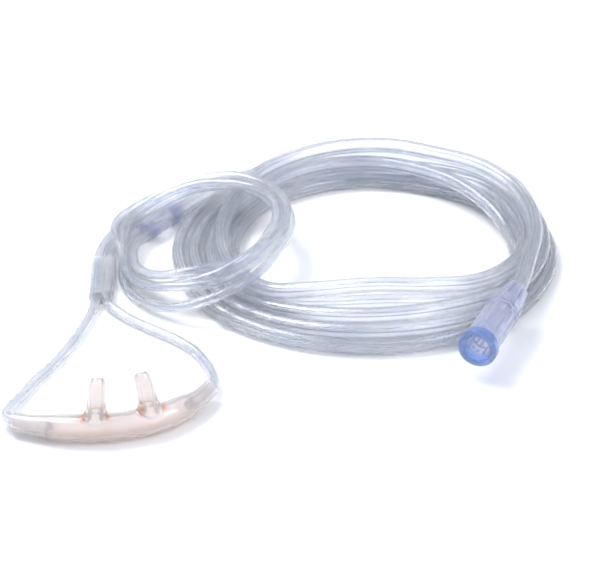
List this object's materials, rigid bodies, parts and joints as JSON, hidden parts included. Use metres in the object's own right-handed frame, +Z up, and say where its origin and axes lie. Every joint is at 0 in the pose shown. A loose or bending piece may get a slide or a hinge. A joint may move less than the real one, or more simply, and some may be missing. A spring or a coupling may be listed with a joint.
{
  "type": "nasal oxygen cannula",
  "caption": "Clear nasal cannula with curved prongs, slide sleeve, coiled lariat tubes, Y-connector and coiled supply tube ending in a tapered connector.",
  "frame": {"origin": "floor point under the middle of the nasal piece's bounding box", "axes": "+Z up from the floor the cannula lies on; +Y from the nasal piece towards the coils; +X to the right, along the nasal piece's long side"},
  "size_m": [0.1937, 0.1989, 0.0221],
  "materials": {
    "clear_tube": "clear soft PVC, glossy, pale blue-lilac in thick places",
    "nasal": "soft clear PVC with a faint blush tint, glossy",
    "connector": "translucent violet-blue PVC, glossy",
    "y_fitting": "clear PVC with a violet tint, glossy",
    "sleeve": "clear vinyl, pale blue at the sides, glossy"
  },
  "bodies": {
    "cannula": {"nasal_piece": "nasal", "lariat_tube_left": "clear_tube", "lariat_tube_right": "clear_tube", "lariat_coil": "clear_tube", "lariat_end_left": "clear_tube", "lariat_end_right": "clear_tube", "y_connector": "y_fitting", "supply_lead": "clear_tube", "supply_coil": "clear_tube", "supply_tail": "clear_tube", "end_connector": "connector"},
    "slide": {"slide_sleeve": "sleeve"}
  },
  "joints": [
    {"name": "sleeve_slide", "type": "slide", "parent": "cannula", "child": "slide", "axis": [-0.0297, 0.9996, 0], "range_m": [0, 0.005]}
  ]
}
